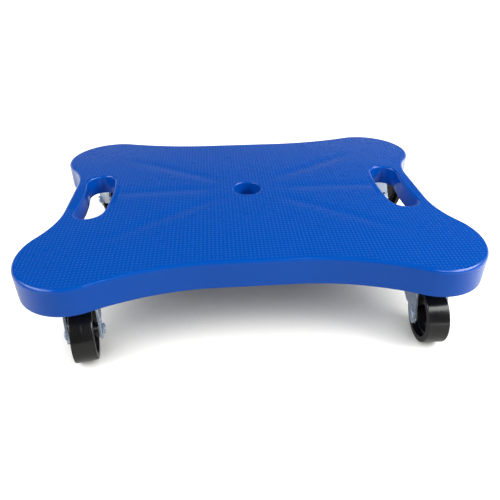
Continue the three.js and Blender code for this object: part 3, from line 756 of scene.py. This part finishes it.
def make_nut():
    """Hexagonal nut whose corners are cut back by a cone at both ends."""
    low, high = face_out, face_out + NUT_HEIGHT
    corner = NUT_FLATS / math.sqrt(3)
    nut = prism("axle_nut", arc((0, 0), corner, 0, math.tau, 6)[:-1], low, high)
    cone = [(AXIS_GAP, low), (corner - NUT_CHAMFER, low), (corner * 1.1, low + NUT_CHAMFER),
            (corner * 1.1, high - NUT_CHAMFER), (corner - NUT_CHAMFER, high), (AXIS_GAP, high)]
    combine(nut, keeps=[turned_solid("cone", cone)])
    combine(nut, cuts=[cylinder("bore", BOLT_RADIUS + FIT, low - OVERRUN, high + OVERRUN)])
    soften(nut, NUT_SOFTNESS, angle=50)
    return smooth(moved(nut, ON_AXLE))


# Shader pieces

# Distances from the middle between which the sink marks come up and fade
SINKS_BEGIN, SINKS_END = (25 * MM, 60 * MM), (110 * MM, 180 * MM)


def new_node(kind, *values):
    """A node in the tree of the first socket among some values."""
    tree = next(value.id_data for value in values if isinstance(value, bpy.types.NodeSocket))
    return tree.nodes.new(kind)


def give(target, value):
    """Links a socket to another, or sets its plain value."""
    if isinstance(value, bpy.types.NodeSocket):
        target.id_data.links.new(value, target)
    else:
        target.default_value = value


def maths(operation, *values):
    node = new_node("ShaderNodeMath", *values)
    node.operation = operation
    for target, value in zip(node.inputs, values):
        give(target, value)
    return node.outputs[0]


def product(first, *others):
    for other in others:
        first = maths("MULTIPLY", first, other)
    return first


def axes_of(vector):
    """The x, y and z of a vector."""
    node = new_node("ShaderNodeSeparateXYZ", vector)
    give(node.inputs[0], vector)
    return node.outputs


def ramp(value, start, stop, low=0.0, high=1.0):
    """Smooth step from low to high as value goes from start to stop."""
    node = new_node("ShaderNodeMapRange", value)
    node.interpolation_type = "SMOOTHSTEP"
    ends = {"Value": value, "From Min": start, "From Max": stop, "To Min": low, "To Max": high}
    for name, number in ends.items():
        give(node.inputs[name], number)
    return node.outputs[0]


def noise(vector, scale, detail=2.0):
    node = new_node("ShaderNodeTexNoise", vector)
    give(node.inputs["Vector"], vector)
    give(node.inputs["Scale"], scale)
    node.inputs["Detail"].default_value = detail
    return node.outputs[0]


def blend_colour(share, first, second):
    """The first colour where the share is 0, the second where it is 1."""
    node = new_node("ShaderNodeMix", share, first, second)
    node.data_type = "RGBA"
    give(node.inputs[0], share)
    give(node.inputs[6], first)
    give(node.inputs[7], second)
    return node.outputs[2]


def group_of(name, fill, output, **defaults):
    """A shader node group with named sockets: a Vector and numbers (_ for a space) in, a number out."""
    tree = bpy.data.node_groups.new(name, "ShaderNodeTree")
    tree.interface.new_socket(name="Vector", in_out="INPUT", socket_type="NodeSocketVector")
    for label, default in defaults.items():
        label = label.replace("_", " ")
        item = tree.interface.new_socket(name=label, in_out="INPUT", socket_type="NodeSocketFloat")
        item.default_value = default
    tree.interface.new_socket(name=output, in_out="OUTPUT", socket_type="NodeSocketFloat")
    start, end = tree.nodes.new("NodeGroupInput"), tree.nodes.new("NodeGroupOutput")
    give(end.inputs[output], fill(start.outputs))
    return tree


def use_group(group, **values):
    """The output of a group, whose inputs are given by name in the same way."""
    node = new_node("ShaderNodeGroup", *values.values())
    node.node_tree = group
    for label, value in values.items():
        give(node.inputs[label.replace("_", " ")], value)
    return node.outputs[0]


def fill_dots(given):
    """Raised dots on a rectangular lattice: a smooth step of the distance to the middle of the cell."""
    x, y, _ = axes_of(given["Vector"])
    squares = []
    for place, cell in ((x, given["Pitch X"]), (y, given["Pitch Y"])):
        share = maths("FRACT", maths("DIVIDE", place, cell))
        length = product(maths("SUBTRACT", share, 0.5), cell)
        squares.append(product(length, length))
    distance = maths("SQRT", maths("ADD", *squares))
    return ramp(distance, 0.0, given["Dot Radius"], 1.0, 0.0)


def fill_sinks(given):
    """Sink marks over the ribs that run out from the middle: exp(-(d / w)^2) of the distance d to the
    nearest of three lines, faded in and out along the way."""
    x, y, _ = axes_of(given["Vector"])
    slant = math.atan2(pivot_y, pivot_x)
    distances = []
    for angle in (0.0, slant, -slant):
        along_y, along_x = product(y, math.cos(angle)), product(x, math.sin(angle))
        distances.append(maths("ABSOLUTE", maths("SUBTRACT", along_y, along_x)))
    nearest = maths("MINIMUM", maths("MINIMUM", *distances[:2]), distances[2])
    share = maths("DIVIDE", nearest, given["Width"])
    line = maths("EXPONENT", product(share, share, -1.0))
    radius = maths("SQRT", maths("ADD", product(x, x), product(y, y)))
    return product(line, ramp(radius, *SINKS_BEGIN), ramp(radius, *SINKS_END, 1.0, 0.0))


def fill_mottle(given):
    """Two noises, coarse and fine, mixed into one slow variation about a half."""
    coarse = noise(given["Vector"], given["Scale"], detail=3.0)
    fine = noise(given["Vector"], product(given["Scale"], 9.0))
    mixed = maths("ADD", product(coarse, 0.7), product(fine, 0.3))
    spread = product(maths("SUBTRACT", mixed, 0.5), given["Amount"])
    return maths("ADD", spread, 0.5)


def fill_wear(given):
    """Mask of rubbed edges: the pointiness of the surface past a threshold, broken up by noise."""
    geometry = new_node("ShaderNodeNewGeometry", given["Vector"])
    stop = maths("ADD", given["Start"], 0.08)
    edge = ramp(geometry.outputs["Pointiness"], given["Start"], stop)
    patches = ramp(noise(given["Vector"], given["Scale"], detail=3.0), 0.35, 0.65)
    return product(edge, patches)


raised_dots = group_of("raised_dots", fill_dots, "Height", Pitch_X=0.003, Pitch_Y=0.003, Dot_Radius=0.001)
sink_marks = group_of("sink_marks", fill_sinks, "Depth", Width=0.005)
mottle = group_of("mottle", fill_mottle, "Value", Scale=20.0, Amount=1.0)
edge_wear = group_of("edge_wear", fill_wear, "Mask", Start=0.55, Scale=60.0)


def new_material(name):
    """A material with its shader and the object coordinates."""
    material = bpy.data.materials.new(name)
    material.use_nodes = True
    nodes = material.node_tree.nodes
    return material, nodes["Principled BSDF"], nodes.new("ShaderNodeTexCoord").outputs["Object"]


def add_bump(shader, height, distance, strength=1.0):
    bump = new_node("ShaderNodeBump", height)
    bump.inputs["Distance"].default_value = distance
    bump.inputs["Strength"].default_value = strength
    give(bump.inputs["Height"], height)
    give(shader.inputs["Normal"], bump.outputs[0])


def add_mottle(shader, place, scale, amount, shades, rough, span=(0.2, 0.8)):
    """Colour between two shades and roughness between two values, by one mottle. Gives the colour."""
    variation = use_group(mottle, Vector=place, Scale=scale, Amount=amount)
    colour = blend_colour(variation, *shades)
    give(shader.inputs["Base Color"], colour)
    give(shader.inputs["Roughness"], ramp(variation, *span, *rough))
    return colour


# The deck's own blue between two shades, a painted shade for the hollows of its grip, and a painted highlight
# for the tops of its dots
BLUE = (0.0005, 0.088, 0.500, 1)
BLUE_DEEP = (0.0004, 0.080, 0.465, 1)
BLUE_PAINTED_SHADE = (0.0004, 0.072, 0.430, 1)
BLUE_PAINTED_HIGHLIGHT = (0.001, 0.116, 0.560, 1)
BLACK, BLACK_FADED = (0.005, 0.005, 0.006, 1), (0.010, 0.010, 0.011, 1)
BLACK_RUBBED = (0.05, 0.05, 0.052, 1)
# Zinc shades tinted blue, partly as blue passivation and partly as a painted reflection of the blue deck
ZINC_DULL_AND_PAINTED_REFLECTION, ZINC_BRIGHT_AND_PAINTED_REFLECTION = (0.58, 0.68, 0.86, 1), (0.64, 0.74, 0.92, 1)
STEEL_DULL, STEEL_BRIGHT = (0.62, 0.62, 0.60, 1), (0.75, 0.76, 0.77, 1)
# The floor's white is warmed a little, a painted tint that cancels the blue that light bounced off the deck
# puts into its shade
FLOOR_WHITE = (0.6, 0.592, 0.55, 1)

# The grip: pitch and radius of its dots, and the sink marks' width and depth in heights of a dot
DOT_PITCH_X, DOT_PITCH_Y = 3.45 * MM, 3.27 * MM
DOT_RADIUS = 1.3 * MM
DOT_HEIGHT = 0.3 * MM
SINK_WIDTH = 7 * MM
SINK_DEPTH = 2.8


def smooth_blue():
    """Moulded blue plastic, glossy, with a faint ripple."""
    material, shader, place = new_material("blue_plastic")
    shader.inputs["Specular IOR Level"].default_value = 0.3
    add_mottle(shader, place, scale=14.0, amount=1.4, shades=(BLUE_DEEP, BLUE), rough=(0.10, 0.14))
    add_bump(shader, product(noise(place, scale=45.0), 0.05), distance=0.4 * MM)
    return material


def grip_blue():
    """The same plastic on the riding face: duller, with raised dots that catch the light,
    painted lighter on their tops as a painted highlight and darker between them as painted shade, and sink
    marks.
    """
    material, shader, place = new_material("blue_plastic_grip")
    shader.inputs["Specular IOR Level"].default_value = 0.05
    colour = add_mottle(shader, place, scale=14.0, amount=1.4, shades=(BLUE_DEEP, BLUE), rough=(0.26, 0.32))
    dots = use_group(raised_dots, Vector=place, Pitch_X=DOT_PITCH_X, Pitch_Y=DOT_PITCH_Y,
                     Dot_Radius=DOT_RADIUS)
    # Painted shade: the grip between the dots goes halfway to a darker blue; painted highlight: the dots'
    # tops go to a lighter blue
    painted_shade_hollows = blend_colour(0.5, colour, BLUE_PAINTED_SHADE)
    give(shader.inputs["Base Color"], blend_colour(dots, painted_shade_hollows, BLUE_PAINTED_HIGHLIGHT))
    ripple = product(noise(place, scale=45.0), 0.02)
    sinks = use_group(sink_marks, Vector=place, Width=SINK_WIDTH)
    height = maths("SUBTRACT", maths("ADD", dots, ripple), product(sinks, SINK_DEPTH))
    add_bump(shader, height, DOT_HEIGHT)
    return material


def wheel_material():
    """Hard black plastic, glossy, a little dulled on the tread and rubbed at the edges."""
    material, shader, place = new_material("black_wheel_plastic")
    body = add_mottle(shader, place, scale=60.0, amount=1.5, shades=(BLACK, BLACK_FADED), rough=(0.16, 0.26))
    wear = product(use_group(edge_wear, Vector=place, Start=0.56, Scale=200.0), 0.5)
    give(shader.inputs["Base Color"], blend_colour(wear, body, BLACK_RUBBED))
    add_bump(shader, noise(place, scale=700.0), distance=0.03 * MM, strength=0.4)
    return material


def zinc_material():
    """Zinc-plated pressed steel: a cool bright metal, a little milky, with soft clouds and fine grain,
    tinted blue partly by blue passivation and partly by a painted reflection of the blue deck.
    """
    material, shader, place = new_material("zinc_plated_steel")
    shader.inputs["Metallic"].default_value = 0.7
    add_mottle(shader, place, scale=130.0, amount=0.8, shades=(ZINC_DULL_AND_PAINTED_REFLECTION, ZINC_BRIGHT_AND_PAINTED_REFLECTION), rough=(0.24, 0.30),
               span=(0.1, 0.9))
    add_bump(shader, noise(place, scale=1500.0), distance=0.02 * MM, strength=0.5)
    return material


def ball_material():
    """Polished bearing steel with the faint haze of grease."""
    material, shader, place = new_material("bearing_steel")
    shader.inputs["Metallic"].default_value = 1.0
    add_mottle(shader, place, scale=300.0, amount=1.5, shades=(STEEL_DULL, STEEL_BRIGHT), rough=(0.10, 0.22))
    return material


# Dressing

def dress(piece, body, node, slot, *materials):
    """Gives a piece its materials, its body and the node that it stands for. The slot is not used."""
    for material in materials:
        piece.data.materials.append(material)
    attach(piece, body)
    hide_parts(node)


def copy_to(piece, place, turning, x=0, y=0):
    """A copy of a caster piece, put at its pivot, and swivelled with the fork if it turns."""
    pivot = Vector(pivots[place + "_swivel"])
    matrix = Matrix.Translation((pivot.x + x, pivot.y + y, 0))
    if turning:
        away = Vector(pivots[place + "_roll"]) - pivot
        matrix = matrix @ Matrix.Rotation(math.atan2(away.y, away.x), 4, "Z")
    copy = piece.copy()
    copy.data = piece.data.copy()
    show(copy)
    return moved(copy, matrix)


def make_casters():
    """Each piece is made once and copied to the four corners."""
    zinc = "zinc_steel", zinc_material()
    steel = "ball_steel", ball_material()
    black = "wheel_plastic", wheel_material()
    pieces = [
        ("mounting_plate", make_plate, "root", zinc), ("race_cup", make_cup, "root", zinc),
        ("ball_ring", make_balls, "root", steel), ("kingpin", make_pin, "root", zinc),
        ("fork", make_fork, "fork", zinc), ("axle_sleeve", make_sleeve, "fork", zinc),
        ("axle_bolt", make_bolt, "fork", zinc), ("axle_nut", make_nut, "fork", zinc),
        ("wheel", make_wheel, "wheel", black),
    ]
    for node, make, body, look in pieces:
        model = make()
        for place in PLACES:
            piece = copy_to(model, place, body != "root")
            piece.name = f"{place}_{node}_piece"
            dress(piece, body if body == "root" else f"{place}_{body}", f"{place}_{node}", *look)
        bpy.data.objects.remove(model)
    model = make_screw()
    for place in PLACES:
        for number, (x, y) in enumerate(screw_places(), 1):
            piece = copy_to(model, place, False, x, y)
            piece.name = f"{place}_screw_{number}_piece"
            dress(piece, "root", f"{place}_screw_{number}", *zinc)
    bpy.data.objects.remove(model)


# Stage

# Strengths: the plain light on the object, and what gloss mirrors: the band behind, the front, the windows
# (left, right), the one high at the front right, and the floor in front and beside (left, right)
PLAIN_LIGHT = 0.48
BAND_GLOW = 1.0
FRONT_GLOW = 0.12
WINDOW_GLOW = (9.5, 14.0)
WINDOW_GLOW_BELOW = 0.07        # share of it below the windows
CORNER_GLOW = 6.5
FLOOR_GLOW_FRONT = 0.05
FLOOR_GLOW_SIDES = (1.1, 1.8)

# Soft edges of those lights, as angles above the horizon in degrees
BAND_FADES = (6, 28)
FRONT_FADES = (50, 75)
WINDOW_BEGINS = (30, 42)
CORNER_BEGINS, CORNER_FADES = (42, 50), (70, 76)

MIDDLE = (-0.1, 0.1)            # x where the left turns into the right
FLOOR_HALF = 6.0
FLOOR_COVER_REACH = 300 * MM    # how near a piece has to be to dim the floor's glow
FLOOR_OPENS = (0.03, 0.75)      # shares of open sky at which the glow begins and is full
FLOOR_SIDES_BEGIN = (0.2, 0.4)


def ray_shares(place):
    """1 for rays from the camera, else 0; and 1 for rays off gloss or through glass, else 0."""
    path = new_node("ShaderNodeLightPath", place)
    camera = path.outputs["Is Camera Ray"]
    mirrored = maths("MAXIMUM", path.outputs["Is Glossy Ray"], path.outputs["Is Transmission Ray"])
    return camera, product(mirrored, maths("SUBTRACT", 1.0, camera))


def make_floor():
    """White floor that keeps the board's shadow: it glows white where it is open to the sky, for rays that
    show the background, and less and less the more the board covers it, which paints a shadow over its real
    one."""
    corners = [(-1, -1, 0), (1, -1, 0), (1, 1, 0), (-1, 1, 0)]
    floor = mesh_object("floor", FLOOR_HALF * np.array(corners), [(0, 1, 2, 3)])
    material, shader, place = new_material("white_floor")
    shader.inputs["Base Color"].default_value = FLOOR_WHITE
    shader.inputs["Roughness"].default_value = 0.6
    shader.inputs["Specular IOR Level"].default_value = 0.0
    openness = new_node("ShaderNodeAmbientOcclusion", place)
    openness.samples = 16
    openness.inputs["Distance"].default_value = FLOOR_COVER_REACH
    # Painted shadow: the glow fades where the ambient occlusion finds the board close overhead
    glow_with_painted_shadow = ramp(openness.outputs["AO"], *FLOOR_OPENS)
    x = axes_of(place)[0]
    beside = ramp(x, *MIDDLE, *FLOOR_GLOW_SIDES)
    sides = ramp(maths("ABSOLUTE", x), *FLOOR_SIDES_BEGIN, FLOOR_GLOW_FRONT, beside)
    camera, mirrored = ray_shares(place)
    share = maths("ADD", camera, product(mirrored, sides))
    give(shader.inputs["Emission Strength"], product(share, glow_with_painted_shadow))
    floor.data.materials.append(material)


def rising(z, angles, low=0.0, high=1.0):
    """Smooth step between two angles above the horizon, of a direction whose height is z."""
    start, stop = [math.sin(math.radians(angle)) for angle in angles]
    return ramp(z, start, stop, low, high)


def make_world():
    """White all round for the camera. Gloss mirrors a bright window to each side, one high at the front right
    and a dim front, and behind a band above the horizon that makes level faces look paler further back. The
    light on the object is plain and even."""
    world = bpy.data.worlds.new("studio")
    bpy.context.scene.world = world
    world.use_nodes = True
    nodes = world.node_tree.nodes
    background = nodes["Background"]
    x, y, z = axes_of(nodes.new("ShaderNodeTexCoord").outputs["Generated"])
    aside = ramp(maths("ABSOLUTE", x), 0.42, 0.65)
    not_behind = ramp(y, 0.25, 0.5, 1.0, 0.0)
    windows = product(aside, not_behind, rising(z, WINDOW_BEGINS, WINDOW_GLOW_BELOW),
                      ramp(x, *MIDDLE, *WINDOW_GLOW))
    front_right = product(ramp(x, 0.15, 0.22), ramp(y, -0.3, -0.15, 1.0, 0.0))
    corner = product(front_right, rising(z, CORNER_BEGINS, 0.0, CORNER_GLOW),
                     rising(z, CORNER_FADES, 1.0, 0.0))
    front = rising(z, FRONT_FADES, FRONT_GLOW, 0.0)
    band = rising(z, BAND_FADES, BAND_GLOW, 0.0)
    behind = ramp(y, -0.1, 0.3)
    level_glow = maths("ADD", product(behind, maths("SUBTRACT", band, front)), front)
    shown = maths("ADD", level_glow, maths("ADD", windows, corner))
    camera, mirrored = ray_shares(z)
    plain = maths("SUBTRACT", 1.0, maths("ADD", camera, mirrored))
    light = maths("ADD", product(mirrored, shown), product(plain, PLAIN_LIGHT))
    give(background.inputs["Strength"], maths("ADD", light, camera))
    background.inputs["Color"].default_value = (1, 1, 1, 1)


LAMP_AIM = Vector((0, 0, 0.05))
LAMP_SIZE = 0.6


def make_lamp(name, place, power):
    """Soft square light without a mirror image, because gloss shows the world's windows instead."""
    lamp = bpy.data.lights.new(name, "AREA")
    lamp.size = LAMP_SIZE
    lamp.energy = power
    holder = bpy.data.objects.new(name, lamp)
    holder.location = place
    holder.rotation_euler = (LAMP_AIM - Vector(place)).to_track_quat("-Z", "Y").to_euler()
    holder.visible_glossy = False
    show(holder)


def make_camera():
    """Pinhole camera whose axis meets the picture at the principal point, so the lens is shifted to match."""
    data = bpy.data.cameras.new("camera")
    data.lens = FOCAL_PIXELS / PHOTO_SIZE * data.sensor_width
    data.shift_x = (PHOTO_SIZE / 2 - PRINCIPAL_POINT[0]) / PHOTO_SIZE
    data.shift_y = (PRINCIPAL_POINT[1] - PHOTO_SIZE / 2) / PHOTO_SIZE
    sine, cosine = math.sin(CAMERA_YAW), math.cos(CAMERA_YAW)
    level_share = math.cos(CAMERA_ELEVATION)
    back = Vector((sine * level_share, -cosine * level_share, math.sin(CAMERA_ELEVATION)))
    right = Vector((cosine, sine, 0))
    up = back.cross(right)
    turn = Matrix((right, up, back)).transposed() @ Matrix.Rotation(CAMERA_ROLL, 3, "Z")
    camera = bpy.data.objects.new("camera", data)
    place = Vector((*CAMERA_TARGET, deck_top)) + back * CAMERA_DISTANCE
    camera.matrix_world = Matrix.Translation(place) @ turn.to_4x4()
    show(camera)
    bpy.context.scene.camera = camera


make_camera()
make_world()
make_floor()
make_lamp("right_lamp", place=(1.1, -0.5, 0.8), power=16.0)
make_lamp("left_lamp", place=(-1.1, -0.5, 0.8), power=7.0)

dress(make_deck(), "root", "deck", "deck_plastic", smooth_blue(), grip_blue())
make_casters()

bpy.context.scene.view_settings.view_transform = "Standard"
